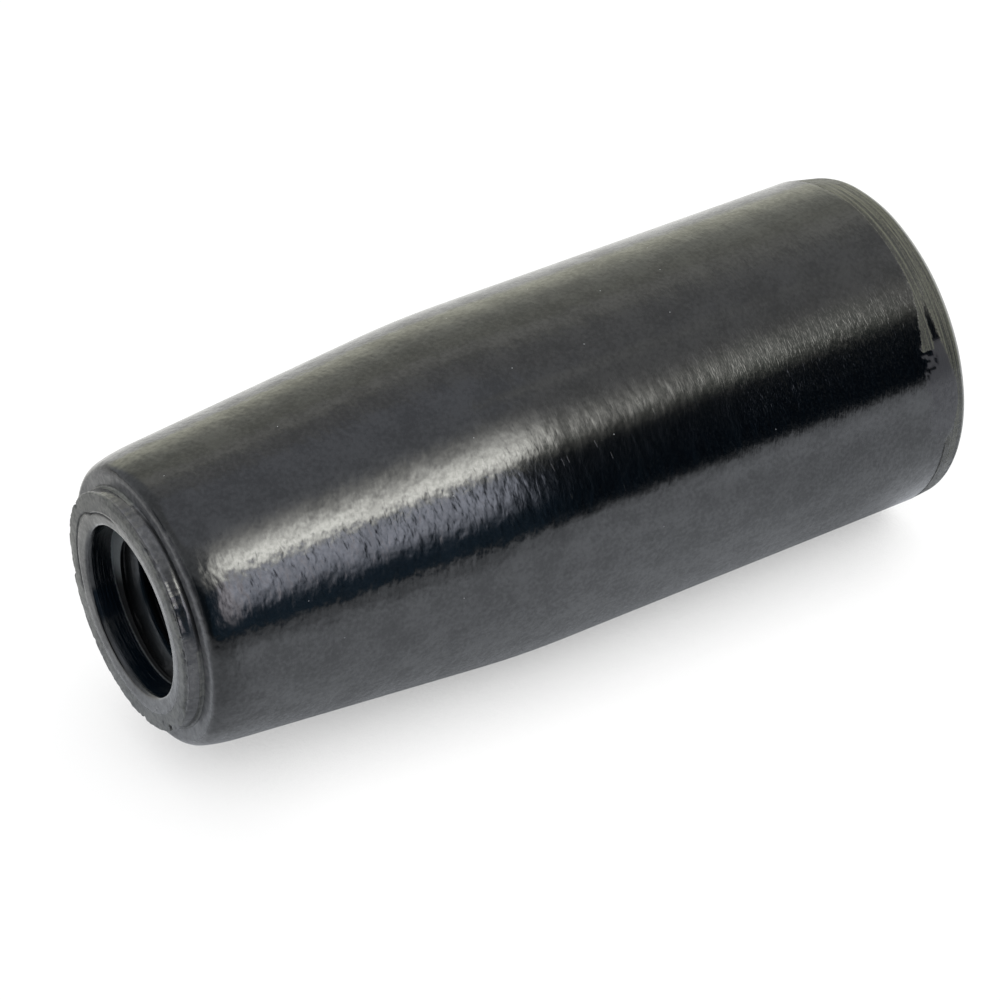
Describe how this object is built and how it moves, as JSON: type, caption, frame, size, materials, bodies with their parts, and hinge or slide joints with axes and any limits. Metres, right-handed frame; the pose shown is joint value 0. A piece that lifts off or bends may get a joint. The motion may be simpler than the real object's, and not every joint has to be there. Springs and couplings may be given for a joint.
{
  "type": "tapered lever grip",
  "caption": "Black moulded hand grip for a machine lever: a straight part for the palm, a taper to a low collar and a blind threaded hole in the small end.",
  "frame": {"origin": "middle of the large end's flat face, which the grip stands on", "axes": "+Z along the axis, from the large end towards the mouth of the threaded hole; the grip is round, so X and Y are any pair across it"},
  "size_m": [0.026, 0.026, 0.0633],
  "materials": {
    "black_resin": "gloss from the mould with fine orange peel, dressed dull round the large end's rim"
  },
  "bodies": {
    "root": {"grip": "black_resin"}
  },
  "joints": []
}
